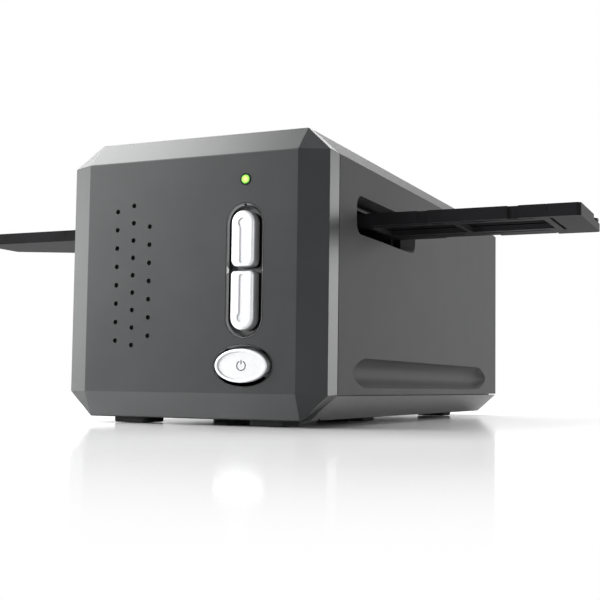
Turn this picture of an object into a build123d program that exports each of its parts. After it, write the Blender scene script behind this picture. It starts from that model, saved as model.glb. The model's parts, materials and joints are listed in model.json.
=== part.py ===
from build123d import *
import math
import os

# Film negative scanner, in millimetres.
# Origin: centre of the footprint, on the floor. +X is the way the film holder slides, +Z is up,
# and the front face looks along -Y.

# ---------- casing ----------
case_width = 120.0
case_length = 272.0
case_height = 119.0
foot_height = 2.4
edge_cut_x = 11.5            # long bevels of the eight-sided casing
edge_cut_z = 10.5
wall = 2.5
bezel_depth = 14.5
cheek_depth = 6.0            # how far the facets of the bezel lean back at the sides
brow_depth = 9.8             # the same at the top
chin_depth = 4.7             # the same at the bottom
bezel_fillet = 0.9
side_draft = 0.4             # the bezel's sides close in this much from seam to cheek
tongue_length = 4.0
tongue_wall = 1.6
part_gap = 0.2               # moulded fit between neighbouring casing parts
seam = 0.6                   # open joint lines between the casing parts
lip_rise = 0.7               # the tray's lip that closes its joint line from inside
post_inset = 14.0            # case posts, from the sides
web_thick = 3.0

# ---------- film line ----------
film_from_front = 70.0       # centre line of the film and of the optics
film_width = 35.0
frame_long = 36.0
frame_short = 24.0
frame_pitch = 38.0
frame_margin = 6.0           # holder left plain before the first frame

# ---------- film holder ----------
holder_length = 296.0
holder_near = 20.5           # from the film centre line to the near edge
holder_far = 29.5            # from the film centre line to the hinge edge
holder_bottom = 84.6
base_thick = 2.7
lid_thick = 2.5
tongue_start = 46.0          # length of the plain tapered left end
tongue_narrow = 22.0
end_block = 11.5             # solid grip at the right end
holder_corner = 2.0
light_slit = 1.4
light_slit_length = 30.0
notch_width = 4.6
notch_depth = 1.3
notch_offset = 7.0           # from a frame's centre to its notch
hinge_radius = 2.3
hinge_pin_radius = 0.8
knuckle_count = 9
knuckle_gap = 0.3
latch_thick = 1.4
latch_tip_radius = 3.4
latch_pin_radius = 1.0

# ---------- slot ----------
slot_clear_y = 5.0           # room beside the holder in the slot
slot_below = 3.8
slot_above = 4.2
slot_flare_front = 10.5      # how far the recess flares out toward the front
slot_flare_rear = 7.0
slot_flare_z = 1.5
slot_recess = 5.0
slot_frame_depth = 2.6
slot_frame_wall = 1.5

# ---------- grip groove ----------
groove_start = 30.0          # from the front face
groove_to_rear = 27.0
groove_low = 15.5
groove_high = 28.0
groove_depth = 4.5
groove_ramp = 15.0
groove_bulge = 0.38          # where along its end the groove is half as deep

# ---------- feet ----------
foot_side = 16.0
foot_x = 32.0
foot_rows = (17.0, 104.0)    # front and middle pair, from the front face
foot_to_rear = 37.0
foot_sunk = 1.0

# ---------- controls ----------
control_x = 25.7
pocket_wall = 1.0
pocket_depth = 4.5
pocket_floor = 1.5
pocket_flange = 1.0
pocket_chamfer = 0.8
scan_pocket_width = 14.2
scan_pocket_low = 35.7
scan_pocket_drop = 21.2      # from the brow down to the pocket
scan_split_rise = 0.5        # the gap between the two scan buttons is above their pocket's middle
scan_gap = 1.6
scan_side_gap = 2.0
upper_corner = 2.8           # corners beside the gap
lower_corner = 1.8
power_side_gap = 0.6
button_proud = 2.2
button_fillet = 1.2
button_groove = 2.4
ring_radius = 1.9
button_groove_depth = 0.6
power_z = 23.8
power_pocket_width = 24.2
power_pocket_height = 14.6
power_dish_depth = 0.8
button_travel = 0.8
button_seat = 0.3            # play behind the pocket floor
stem_radius = 2.0
collar_radius = 3.2
collar_thick = 1.5
switch_gap = 0.1
switch_side = 6.0
switch_thick = 3.5
light_drop = 10.6             # from the brow down to the light
light_radius = 1.8
light_gap = 0.5
dimple_radius = 1.0
dimple_depth = 1.5
dimple_columns = ((-34.0, 34.0, 87.9, 8), (-26.1, 32.1, 90.0, 9), (-18.3, 35.9, 81.0, 7))

# ---------- boards ----------
board_thick = 1.6
board_screw_radius = 1.5
screw_head_radius = 2.8
screw_head = 1.6
boss_radius = 3.0
button_board_x = (10.0, 42.0)
button_board_low = 17.0
button_board_drop = 4.5       # from the brow down to the board
low_boss_rise = 21.0         # lower bosses stand above the power button's pocket
main_board_z = 16.4
main_board_length = 150.0
main_board_to_rear = 6.0
standoff_inset = 5.0
standoff_from_rear = 30.0

chips = ((-8.0, 100.0, 9.0, 1.6), (14.0, 96.0, 7.0, 1.4), (-22.0, 70.0, 5.0, 1.2), (8.0, 64.0, 6.0, 1.4))
capacitors = ((26.0, 46.0), (26.0, 34.0), (2.0, 30.0))
capacitor_radius = 4.0
capacitor_height = 11.0

# ---------- rear ----------
panel_width = 76.0
panel_low = 15.5
panel_high = 33.5
panel_thick = 2.0
panel_ledge = 2.0
panel_corner = 3.0
usb_x = -20.0
usb_width = 12.0
usb_height = 10.9
usb_depth = 16.0
usb_opening_width = 8.5
usb_opening_height = 7.8
jack_x = 15.0
jack_width = 9.0
jack_height = 11.0
jack_depth = 14.0
jack_bore = 3.2
jack_pin = 1.0

# ---------- chassis and optics ----------
chassis_z = 36.0
chassis_thick = 2.5
chassis_inset = 12.0         # from the casing's sides
chassis_from_front = 30.0
chassis_to_rear = 24.0
well_width = 44.0
well_margin = 34.0
bulkhead_top = 71.0
leg_radius = 4.0
column_radius = 3.0
column_inset = 3.5           # from the film guide's ends
rod_inset = 10.5             # from the columns
rod_z = 46.0
rod_radius = 3.0
run_gap = 0.2                # running clearance on rods, pins and screw
screw_z = 60.0
screw_radius = 3.0
bearing_radius = 5.0
motor_radius = 12.5
motor_length = 15.0
motor_ear = 17.0
carriage_inset = 8.0         # from the guide rods
carriage_wall = 2.5
carriage_front = 18.0        # ahead of the film centre line
carriage_length = 140.0
carriage_floor_z = 50.0
carriage_top_z = 75.0
lug_length = 12.0
lug_radius = 5.0
nut_length = 14.0
nut_half = 6.5
nut_start = 66.0             # from the film centre line
optic_z = 62.0
mirror_thick = 2.0
mirror_long = 22.0
mirror_inset = 8.0           # from the carriage's sides
lens_radius = 9.0
lens_start = 48.0            # from the film centre line
lens_length = 32.0
glass_radius = 7.0
glass_thick = 3.0
clamp_width = 12.0
clamp_thick = 1.6
clamp_play = 0.05
sensor_gap = 116.0           # from the film centre line to the sensor board
sensor_board_inset = 5.0     # from the carriage's sides
sensor_inset = 10.0
sensor_thick = 3.0

# ---------- film guide and lamp ----------
guide_end_gap = 0.4          # from the slot frames
guide_drop = 0.8             # below the slot
guide_floor = 2.6
guide_rim_near = 11.0
guide_rim_far = 10.0
guide_play = 0.5
rib_play = 0.3
rib_width = 4.0
rib_length = 76.0
gate_margin = 1.5
cover_thick = 2.0
lever_pivot_x = -15.0
lever_width = 3.0
lever_play = 0.3
lever_height = 3.6
lamp_half = 32.0
lamp_depth = 22.0            # half the lamp's size along Y
lamp_roof_gap = 0.5          # over the fins
lamp_wall = 2.0
lamp_flange = 6.0
fin_count = 6
fin_height = 2.5

# ---------- worked out ----------
half_w = case_width / 2
front_y = -case_length / 2
rear_y = case_length / 2
film_y = front_y + film_from_front
bezel_back = front_y + bezel_depth
tray_top = foot_height + edge_cut_z
brow_z = case_height - edge_cut_z
cheek_x = half_w - edge_cut_x
scan_pocket_high = brow_z - scan_pocket_drop
scan_split = (scan_pocket_low + scan_pocket_high) / 2 + scan_split_rise
scan_width = scan_pocket_width - 2 * scan_side_gap
light_z = brow_z - light_drop
button_board_z = (button_board_low, brow_z - button_board_drop)
lamp_top = case_height - wall - fin_height - lamp_roof_gap
holder_half = holder_length / 2
first_frame = math.ceil((tongue_start + frame_pitch / 2 + frame_margin - holder_half) / frame_pitch)
last_frame = math.floor((holder_half - end_block - frame_pitch / 2 - 1.5) / frame_pitch)
lid_bottom = holder_bottom + base_thick
holder_top = lid_bottom + lid_thick
near_edge = film_y - holder_near
far_edge = film_y + holder_far
slot_y = (near_edge - slot_clear_y, far_edge + slot_clear_y)
slot_z = (holder_bottom - slot_below, holder_top + slot_above)
throat_x = half_w - slot_recess
frame_x = throat_x - slot_frame_depth
guide_half = frame_x - guide_end_gap
guide_bottom = slot_z[0] - guide_drop
rim_y = (near_edge - guide_play - guide_rim_near, far_edge + guide_play + guide_rim_far)
cover_z = holder_top + rib_play + 2.3
floor_z = foot_height + wall
pocket_back = front_y + pocket_depth + pocket_floor
stem_end = pocket_back + button_seat + collar_thick
switch_tip = stem_end + button_travel + switch_gap
button_board_y = switch_tip + 1.3 + switch_thick
inner_front = front_y + wall
shell_rear = rear_y - wall
chassis_plate_top = chassis_z + chassis_thick
post_x = half_w - post_inset
main_board_half = post_x - 2 * leg_radius
main_board_rear = rear_y - main_board_to_rear
main_board_front = main_board_rear - main_board_length
chassis_half = half_w - chassis_inset
chassis_front = front_y + chassis_from_front
chassis_rear = rear_y - chassis_to_rear
leg_x = chassis_half - leg_radius
column_x = guide_half - column_inset
rod_x = column_x - rod_inset
carriage_half = rod_x - carriage_inset
mirror_half = carriage_half - mirror_inset
sensor_board_half = carriage_half - sensor_board_inset
sensor_half = carriage_half - sensor_inset
post_rows = (bezel_back + 8.5, rear_y - 12.0)
leg_rows = (chassis_front + 7.0, chassis_rear - 8.0)
column_rows = (rim_y[0] + 2.0, rim_y[1] - 2.0)


# ---------- helpers ----------
def prism_y(sketch, y0, y1):
    """Extrude an XZ outline from y0 to y1."""
    return extrude(Plane.XZ.offset(-y0) * sketch, amount=-(y1 - y0))


def prism_x(sketch, x0, x1):
    """Extrude a YZ outline from x0 to x1."""
    return extrude(Plane.YZ.offset(x0) * sketch, amount=x1 - x0)


def prism_z(sketch, z0, z1):
    """Extrude an XY outline from z0 to z1."""
    return extrude(Plane.XY.offset(z0) * sketch, amount=z1 - z0)


def block(x, y, z):
    """A box from three (low, high) pairs."""
    low = (x[0], y[0], z[0])
    size = (x[1] - x[0], y[1] - y[0], z[1] - z[0])
    return Pos(*low) * Box(*size, align=(Align.MIN, Align.MIN, Align.MIN))


def rod_along_y(x, z, radius, y0, y1):
    """A round bar along Y."""
    return prism_y(Pos(x, z) * Circle(radius), y0, y1)


def post(x, y, radius, z0, z1):
    """A round bar along Z."""
    return prism_z(Pos(x, y) * Circle(radius), z0, z1)


def pill(width, height):
    """An upright outline with round ends."""
    return RectangleRounded(width, height, width / 2 - 0.01)


def mirrored(shape):
    """The same shape on the other side of the casing."""
    return mirror(shape, about=Plane.YZ)


def octagon(inset):
    """The casing's section, drawn in by inset."""
    outline = Polyline(
        (-half_w, tray_top), (-half_w, brow_z), (-cheek_x, case_height), (cheek_x, case_height),
        (half_w, brow_z), (half_w, tray_top), (cheek_x, foot_height), (-cheek_x, foot_height),
        close=True,
    )
    face = make_face(outline)
    if inset:
        face = offset(face, amount=-inset, kind=Kind.INTERSECTION)
    return face


def clip(solid, corners, inset):
    """Cut the solid along the plane through three corners, drawn in by inset."""
    a, b, c = (Vector(*corner) for corner in corners)
    normal = (b - a).cross(c - a).normalized()
    middle = Vector(0, bezel_back, case_height / 2)
    if normal.dot(a - middle) < 0:
        normal = normal * -1
    return split(solid, bisect_by=Plane(origin=a - normal * inset, z_dir=normal), keep=Keep.BOTTOM)


def faceted_block(inset, back):
    """The bezel's faceted body, every face drawn in by inset."""
    solid = prism_y(octagon(inset), front_y - 1, back)
    brow = (0, front_y + brow_depth, case_height)
    chin = (0, front_y + chin_depth, foot_height)
    solid = clip(solid, ((0, front_y, 0), (1, front_y, 0), (0, front_y, 1)), inset)
    solid = clip(solid, ((0, front_y, brow_z), (1, front_y, brow_z), brow), inset)
    solid = clip(solid, ((0, front_y, tray_top), (1, front_y, tray_top), chin), inset)
    for side in (-1, 1):
        cheek = (side * half_w, front_y + cheek_depth, brow_z)
        solid = clip(solid, ((side * cheek_x, front_y, 0), (side * cheek_x, front_y, 1), cheek), inset)
        top = ((side * cheek_x, front_y, brow_z), (side * cheek_x, brow[1], case_height), cheek)
        solid = clip(solid, top, inset)
        low_cheek = (side * half_w, front_y + cheek_depth, tray_top)
        low = ((side * cheek_x, front_y, tray_top), (side * cheek_x, chin[1], foot_height), low_cheek)
        solid = clip(solid, low, inset)
    return solid


# ---------- casing ----------
def scan_pocket_outline(grow=0.0):
    height = scan_pocket_high - scan_pocket_low
    centre = (scan_pocket_high + scan_pocket_low) / 2
    return Pos(control_x, centre) * pill(scan_pocket_width + 2 * grow, height + 2 * grow)


def power_pocket_outline(grow=0.0):
    return Pos(control_x, power_z) * Ellipse(power_pocket_width / 2 + grow, power_pocket_height / 2 + grow)


def button_board_holes():
    """Corner screws of the button board."""
    edge = boss_radius + 0.5
    for x in (button_board_x[0] + edge, button_board_x[1] - edge):
        for z in (button_board_z[0] + low_boss_rise, button_board_z[1] - edge):
            yield x, z


def make_front_bezel():
    body = faceted_block(0, bezel_back)
    front_edges = [e for e in body.edges() if e.bounding_box().max.Y < bezel_back - 0.5]
    body = fillet(front_edges, bezel_fillet)
    for side in (-1, 1):
        root = ((side * half_w, bezel_back, 0), (side * half_w, bezel_back, 1))
        body = clip(body, (*root, (side * (half_w - side_draft), front_y + cheek_depth, 0)), 0)
    body -= faceted_block(wall, bezel_back + 1)
    rim = octagon(wall + part_gap) - octagon(wall + part_gap + tongue_wall)
    collar = octagon(wall - 0.8) - octagon(wall + part_gap + tongue_wall)
    body += prism_y(rim, bezel_back - 0.5, bezel_back + tongue_length)
    body += prism_y(collar, bezel_back - 4, bezel_back)
    for x, z in button_board_holes():
        body += rod_along_y(x, z, boss_radius, inner_front - 0.5, button_board_y)
        body -= rod_along_y(x, z, board_screw_radius, button_board_y - 6, button_board_y + 1)
    for outline in (scan_pocket_outline, power_pocket_outline):
        body -= prism_y(outline(pocket_wall + part_gap), front_y - 1, inner_front + 1)
    body -= rod_along_y(control_x, light_z, light_radius + light_gap, front_y - 1, inner_front + 1)
    for x, low, high, count in dimple_columns:
        for i in range(count):
            z = low + (high - low) * i / (count - 1)
            body -= rod_along_y(x, z, dimple_radius, front_y - 1, front_y + dimple_depth)
    return body - foot_seats()


def groove_cutter(grow=0.0):
    """The round-bottomed grip groove of the right side; grow makes the wall behind it."""
    half = (groove_high - groove_low) / 2
    radius = (half ** 2 + groove_depth ** 2) / (2 * groove_depth)
    z = (groove_high + groove_low) / 2
    x = half_w - groove_depth + radius
    y0 = front_y + groove_start - grow
    y1 = rear_y - groove_to_rear + grow
    deep = rod_along_y(x, z, radius + grow, y0 + groove_ramp, y1 - groove_ramp)
    tip_x = x - radius + groove_depth - grow
    root_x = x - radius - grow
    middle_x = (tip_x + root_x) / 2
    for tip, root in ((y0, y0 + groove_ramp), (y1, y1 - groove_ramp)):
        middle = (middle_x, tip + (root - tip) * groove_bulge)
        bow = ThreePointArc((tip_x, tip), middle, (root_x, root))
        straight = Polyline((root_x, root), (x, root), (x, tip), (tip_x, tip))
        profile = Pos(0, 0, z) * make_face([bow, *straight.edges()])
        deep += revolve(profile, axis=Axis((x, 0, z), (0, 1, 0)))
    return deep


def slot_outline(grow=0.0):
    """The throat of the film slot, in YZ."""
    width = slot_y[1] - slot_y[0] + 2 * grow
    height = slot_z[1] - slot_z[0] + 2 * grow
    middle = Pos((slot_y[0] + slot_y[1]) / 2, (slot_z[0] + slot_z[1]) / 2)
    return middle * RectangleRounded(width, height, 2 + grow)


def slot_recess_cutter():
    """The flared mouth of the film slot on the right side."""
    low_y = slot_y[0] - slot_flare_front
    high_y = slot_y[1] + slot_flare_rear
    width = high_y - low_y
    height = slot_z[1] - slot_z[0] + 2 * slot_flare_z
    middle = Pos((low_y + high_y) / 2, (slot_z[0] + slot_z[1]) / 2)
    mouth = Plane.YZ.offset(half_w) * middle * RectangleRounded(width, height, 5)
    throat = Plane.YZ.offset(throat_x) * slot_outline()
    return loft([mouth.face(), throat.face()], ruled=True)


def panel_outline(grow=0.0):
    width = panel_width + 2 * grow
    height = panel_high - panel_low + 2 * grow
    return Pos(0, (panel_low + panel_high) / 2) * RectangleRounded(width, height, panel_corner + grow)


def make_upper_housing():
    above = block((-case_width, case_width), (-case_length, case_length), (tray_top, 2 * case_height))
    outer = prism_y(octagon(0), bezel_back + seam, rear_y)
    rear_edges = outer.faces().sort_by(Axis.Y)[-1].edges()
    body = fillet(rear_edges, 2.0) & above
    space = prism_y(octagon(wall), bezel_back - 1, shell_rear)
    frame_grow = slot_frame_wall + part_gap + wall
    pod = prism_x(slot_outline(frame_grow), frame_x, half_w)
    thick_groove = groove_cutter(wall)
    space -= pod + mirrored(pod) + thick_groove + mirrored(thick_groove)
    body -= space
    for y in post_rows:
        for side in (-1, 1):
            web_y = (y - web_thick / 2, y + web_thick / 2)
            web = block((post_x, half_w - wall / 2), web_y, (tray_top, groove_high + 4))
            stay = post(post_x, y, leg_radius, tray_top, groove_high + 4) + web
            body += stay if side > 0 else mirrored(stay)
            body -= post(side * post_x, y, board_screw_radius, tray_top - 1, tray_top + 14)
    cuts = slot_recess_cutter()
    cuts += prism_x(slot_outline(), throat_x - 0.1, throat_x + 0.1)
    cuts += prism_x(slot_outline(slot_frame_wall + part_gap), frame_x - 1, throat_x)
    cuts += groove_cutter()
    body -= cuts
    body -= mirrored(cuts)
    seat = panel_thick + part_gap
    body -= prism_y(panel_outline(part_gap), rear_y - seat, rear_y + 1)
    body -= prism_y(panel_outline(-panel_ledge), shell_rear - 1, rear_y + 1)
    return body


def make_slot_frame(side):
    ring = prism_x(slot_outline(slot_frame_wall), frame_x + part_gap, throat_x)
    ring -= prism_x(slot_outline(), frame_x, throat_x + 1)
    return ring if side > 0 else mirrored(ring)


def foot_places():
    for row in (*foot_rows, case_length - foot_to_rear):
        for side in (-1, 1):
            yield side * foot_x, front_y + row


def foot_seats():
    """The shallow pockets that the feet are glued into."""
    seats = None
    side = foot_side + 2 * part_gap
    for place in foot_places():
        pocket = prism_z(Pos(*place) * RectangleRounded(side, side, 2), 0, foot_height + foot_sunk)
        seats = pocket if seats is None else seats + pocket
    return seats


def leg_places():
    for y in leg_rows:
        for side in (-1, 1):
            yield side * leg_x, y


def board_standoffs():
    for y in (main_board_front + standoff_inset, main_board_rear - standoff_from_rear):
        for side in (-1, 1):
            yield side * (main_board_half - standoff_inset), y


def tray_lip():
    """The rib along the sides and rear that stands behind the joint line."""
    low = tray_top - 3 * seam
    high = tray_top + lip_rise
    wall_across = wall * math.hypot(edge_cut_x, edge_cut_z) / edge_cut_z
    outer_x = half_w - wall_across - part_gap
    x = (outer_x - tongue_wall, outer_x)
    y = (bezel_back + tongue_length + part_gap, shell_rear - part_gap)
    side = block(x, y, (low, high))
    for row in post_rows:
        room = (row - web_thick / 2 - part_gap, row + web_thick / 2 + part_gap)
        side -= block((x[0] - 1, x[1] + 1), room, (tray_top - part_gap, high + 1))
    rear = block((-x[1], x[1]), (y[1] - tongue_wall, y[1]), (low, high))
    rear += block((-x[0], x[0]), (y[1] - tongue_wall, rear_y - wall / 2), (low, tray_top - seam))
    return side + mirrored(side) + rear


def make_base_tray():
    below = block((-case_width, case_width), (-case_length, case_length), (0, tray_top - seam))
    body = prism_y(octagon(0), bezel_back + seam, rear_y) & below
    space = prism_y(octagon(wall), bezel_back - 1, shell_rear)
    body -= space
    body += tray_lip()
    for x, y in leg_places():
        body += post(x, y, leg_radius, floor_z - 1, floor_z + 3)
        body -= post(x, y, board_screw_radius, foot_height + 1.5, floor_z + 4)
    for x, y in board_standoffs():
        body += post(x, y, boss_radius, floor_z - 1, main_board_z)
        body -= post(x, y, board_screw_radius, floor_z + 1, main_board_z + 1)
    for y in post_rows:
        for side in (-1, 1):
            x = side * post_x
            body += post(x, y, leg_radius, floor_z - 1, tray_top - part_gap)
            body -= post(x, y, screw_head_radius + 0.4, foot_height - 1, floor_z + 1.5)
            body -= post(x, y, board_screw_radius + 0.2, foot_height - 1, tray_top + 1)
    return body - foot_seats()


def make_foot(x, y):
    shape = prism_z(Pos(x, y) * RectangleRounded(foot_side, foot_side, 2), 0, foot_height + foot_sunk)
    return chamfer(shape.faces().sort_by(Axis.Z)[0].edges(), 0.5)


def make_case_screws():
    group = []
    for y in post_rows:
        for side in (-1, 1):
            x = side * post_x
            head = post(x, y, screw_head_radius, floor_z + 1.5 - screw_head, floor_z + 1.5)
            shank = post(x, y, board_screw_radius, floor_z + 1.5, tray_top + 12)
            group.append(head + shank)
    return Compound(children=group)


def make_rear_panel():
    plate = prism_y(panel_outline(), rear_y - panel_thick, rear_y)
    low = main_board_z + board_thick
    usb = block((usb_x - usb_width / 2, usb_x + usb_width / 2), (0, rear_y + 1), (low, low + usb_height))
    plate -= usb
    plate -= rod_along_y(jack_x, low + jack_height / 2, jack_width / 2, 0, rear_y + 1)
    return plate


# ---------- controls ----------
def pocket_liner(outline):
    """A cup that lines a pocket of the bezel, with a flange behind the bezel's wall."""
    body = prism_y(outline(pocket_wall), front_y, pocket_back)
    body += prism_y(outline(pocket_wall + pocket_flange), inner_front, inner_front + 1)
    body -= prism_y(outline(), front_y - 1, front_y + pocket_depth)
    rim = body.faces().filter_by(Axis.Y).sort_by(Axis.Y)[0].inner_wires()[0].edges()
    return chamfer(rim, pocket_chamfer)


def scan_button_centres():
    """Heights of the upper and lower stems."""
    upper = (scan_split + scan_pocket_high) / 2
    lower = (scan_split + scan_pocket_low) / 2
    return upper, lower


def make_scan_pocket():
    body = pocket_liner(scan_pocket_outline)
    for z in scan_button_centres():
        body -= rod_along_y(control_x, z, stem_radius + run_gap, front_y, pocket_back + 1)
    return body


def make_power_pocket():
    body = pocket_liner(power_pocket_outline)
    body -= rod_along_y(control_x, power_z, stem_radius + run_gap, front_y, pocket_back + 1)
    return body


def cap_y():
    """Front and back of every button cap."""
    return front_y - button_proud, front_y + pocket_depth - button_travel - 2 * button_seat


def button_stem(z):
    """The pin behind a cap, with the collar that keeps it in its pocket."""
    stem = rod_along_y(control_x, z, stem_radius, cap_y()[1] - 0.5, stem_end)
    return stem + rod_along_y(control_x, z, collar_radius, pocket_back + button_seat, stem_end)


def cap_outline(low, high, square_end, corner):
    """A cap with one round end; the squarer end is the upper one for 1, the lower one for -1."""
    middle = (low + high) / 2
    squarer = RectangleRounded(scan_width, high - low - scan_width / 2, corner)
    squarer = Pos(control_x, middle + square_end * scan_width / 4) * squarer
    return Pos(control_x, middle) * pill(scan_width, high - low) + squarer


def make_scan_button(upper):
    if upper:
        low = scan_split + scan_gap / 2
        high = scan_pocket_high - scan_side_gap
        outline = cap_outline(low, high, -1, upper_corner)
        groove_z = (low + scan_width / 4, high - scan_width / 2)
    else:
        low = scan_pocket_low + scan_side_gap
        high = scan_split - scan_gap / 2
        outline = cap_outline(low, high, 1, lower_corner)
        groove_z = (low + scan_width / 2, high - scan_width / 4)
    cap = prism_y(outline, *cap_y())
    face_edges = cap.faces().sort_by(Axis.Y)[0].edges()
    cap = fillet(face_edges, button_fillet)
    middle = (groove_z[0] + groove_z[1]) / 2
    length = groove_z[1] - groove_z[0] + button_groove
    groove = Pos(control_x, middle) * pill(button_groove, length)
    cap -= prism_y(groove, cap_y()[0] - 1, cap_y()[0] + button_groove_depth)
    ring_z = groove_z[1] if upper else groove_z[0]
    cap -= rod_along_y(control_x, ring_z, ring_radius, cap_y()[0] - 1, cap_y()[0] + button_groove_depth)
    return cap + button_stem(scan_button_centres()[0 if upper else 1])


def make_power_button():
    cap = prism_y(power_pocket_outline(-power_side_gap), *cap_y())
    cap = fillet(cap.faces().sort_by(Axis.Y)[0].edges(), button_fillet / 2)
    dish = prism_y(power_pocket_outline(-power_side_gap - button_fillet), cap_y()[0] - 1,
                   cap_y()[0] + power_dish_depth)
    return cap - dish + button_stem(power_z)


def make_status_light():
    body = rod_along_y(control_x, light_z, light_radius, front_y - 0.3, button_board_y)
    collar = light_radius + light_gap + 0.8
    return body + rod_along_y(control_x, light_z, collar, inner_front, inner_front + 1.2)


def make_button_board():
    board = block(button_board_x, (button_board_y, button_board_y + board_thick), button_board_z)
    for x, z in button_board_holes():
        board -= rod_along_y(x, z, board_screw_radius + 0.1, button_board_y - 1, button_board_y + 3)
    return board


def make_push_switches():
    group = []
    for z in (*scan_button_centres(), power_z):
        low = button_board_y - switch_thick
        x = (control_x - switch_side / 2, control_x + switch_side / 2)
        case = block(x, (low, button_board_y), (z - switch_side / 2, z + switch_side / 2))
        group.append(case + rod_along_y(control_x, z, 1.7, switch_tip, low + 1))
    return Compound(children=group)


def make_button_board_screws():
    group = []
    back = button_board_y + board_thick
    for x, z in button_board_holes():
        shank = rod_along_y(x, z, board_screw_radius - 0.1, button_board_y - 5, back + 0.5)
        group.append(shank + rod_along_y(x, z, screw_head_radius, back, back + screw_head))
    return Compound(children=group)


# ---------- film holder ----------
def frame_centres():
    return [frame_pitch * i for i in range(first_frame, last_frame + 1)]


hinge_y = far_edge - hinge_radius
hinge_z = lid_bottom
hinge_x = (frame_centres()[0] - frame_pitch / 2, frame_centres()[-1] + frame_pitch / 2 - 3)
lid_end = frame_centres()[-1] + frame_pitch / 2 + 1.5
lid_start = hinge_x[0] - 2
latch_pivot = (holder_half - 5.5, far_edge - 7.5)


def holder_outline():
    """Seen from above: a plain bar with a tapered left end."""
    points = (
        (-holder_half, near_edge), (holder_half, near_edge), (holder_half, far_edge),
        (tongue_start - holder_half, far_edge), (-holder_half, far_edge - tongue_narrow),
    )
    face = make_face(Polyline(*points, close=True))
    return fillet(face.vertices(), holder_corner)


def frame_cutters(z0, z1):
    """Windows over the pictures and the light slits beside the film."""
    cut = None
    for x in frame_centres():
        window = Pos(x, film_y) * RectangleRounded(frame_long, frame_short, 0.8)
        cut = prism_z(window, z0, z1) if cut is None else cut + prism_z(window, z0, z1)
        for side in (-1, 1):
            y = film_y + side * (film_width / 2 - light_slit / 2)
            cut += prism_z(Pos(x, y) * Rectangle(light_slit_length, light_slit), z0, z1)
    return cut


def notch_cutters(z0, z1):
    cut = None
    for x in frame_centres():
        place = Pos(x + notch_offset, near_edge)
        notch = prism_z(place * RectangleRounded(notch_width, 2 * notch_depth, 0.6), z0, z1)
        cut = notch if cut is None else cut + notch
    return cut


def knuckles(first):
    """Every second barrel of the lid's hinge."""
    pitch = (hinge_x[1] - hinge_x[0]) / knuckle_count
    for i in range(first, knuckle_count, 2):
        x0 = hinge_x[0] + i * pitch + knuckle_gap / 2
        x1 = hinge_x[0] + (i + 1) * pitch - knuckle_gap / 2
        yield x0, x1


def add_knuckles(body, first, web_z):
    for x0, x1 in knuckles(first):
        barrel = prism_x(Pos(hinge_y, hinge_z) * Circle(hinge_radius), x0, x1)
        body += barrel
        body += block((x0, x1), (hinge_y - 2 * hinge_radius, hinge_y), web_z)
    bore = Circle(hinge_pin_radius + 0.05)
    return body - prism_x(Pos(hinge_y, hinge_z) * bore, hinge_x[0] - 1, hinge_x[1] + 1)


def hinge_zone():
    """The strip that the knuckles stand in."""
    reach = (hinge_y - hinge_radius - 0.4, far_edge + 1)
    return block((hinge_x[0] - 0.3, hinge_x[1] + 0.3), reach, (holder_bottom - 1, holder_top + 1))


def make_holder_base():
    body = prism_z(holder_outline(), holder_bottom, holder_top)
    lid_room = block((lid_start - part_gap, lid_end + part_gap), (near_edge - 1, far_edge + 1),
                     (lid_bottom, holder_top + 1))
    body -= lid_room
    body -= hinge_zone()
    body -= frame_cutters(holder_bottom - 1, lid_bottom + 1)
    channel = (film_y - film_width / 2 - 0.1, film_y + film_width / 2 + 0.1)
    body -= block((lid_start + 3, lid_end + part_gap), channel, (lid_bottom - 0.4, lid_bottom + 1))
    slit = (lid_end + 0.3, lid_end + 0.3 + light_slit)
    body -= block(slit, (channel[0] + 1, channel[1] - 1), (holder_bottom - 1, holder_top + 1))
    body -= notch_cutters(holder_bottom - 1, lid_bottom + 1)
    latch_room = block((lid_end, holder_half + 1), (latch_pivot[1] - 10, far_edge + 1),
                       (holder_top - latch_thick - 0.5, holder_top + 1))
    body -= latch_room
    tab_room = (latch_pivot[1] - 2.8, latch_pivot[1] + 2.8)
    body -= block((lid_end, lid_end + 2.8), tab_room, (lid_bottom, holder_top + 1))
    thumb = Pos(holder_half - end_block / 2, film_y) * RectangleRounded(end_block - 4, 12, 3)
    body -= prism_z(thumb, holder_top - 0.8, holder_top + 1)
    body = add_knuckles(body, 0, (holder_bottom, lid_bottom - 0.1))
    return body - post(*latch_pivot, latch_pin_radius + 0.05, holder_bottom + 0.6, holder_top + 1)


lid_tab = lid_thick - latch_thick - 0.3


def make_holder_lid():
    bar = prism_z(holder_outline(), lid_bottom, holder_top)
    body = bar & block((lid_start, lid_end), (near_edge - 1, far_edge + 1), (lid_bottom, holder_top))
    body -= hinge_zone()
    body -= frame_cutters(lid_bottom - 1, holder_top + 1)
    body -= notch_cutters(lid_bottom - 1, holder_top + 1)
    tab = (latch_pivot[1] - 2.5, latch_pivot[1] + 2.5)
    body += block((lid_end - 3, lid_end + 2.5), tab, (lid_bottom, lid_bottom + lid_tab))
    room_y = (tab[0] - 3, tab[1] + 3)
    body -= block((lid_end - 3, lid_end + 1), room_y, (lid_bottom + lid_tab, holder_top + 1))
    return add_knuckles(body, 1, (lid_bottom + 0.1, holder_top))



def make_holder_hinge_pin():
    return prism_x(Pos(hinge_y, hinge_z) * Circle(hinge_pin_radius), hinge_x[0], hinge_x[1])


def make_holder_latch():
    x, y = latch_pivot
    arm = Pos(x, y) * Circle(3.6)
    arm += Pos(x - 3.6, y) * Rectangle(7.2, 4.4)
    arm += make_hull([*(Pos(x, y) * Circle(3.6)).edges(),
                      *(Pos(holder_half - latch_tip_radius, y + 2.5) * Circle(latch_tip_radius)).edges()])
    body = prism_z(arm, holder_top - latch_thick, holder_top)
    return body - post(x, y, latch_pin_radius + run_gap, holder_bottom, holder_top + 1)


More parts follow.
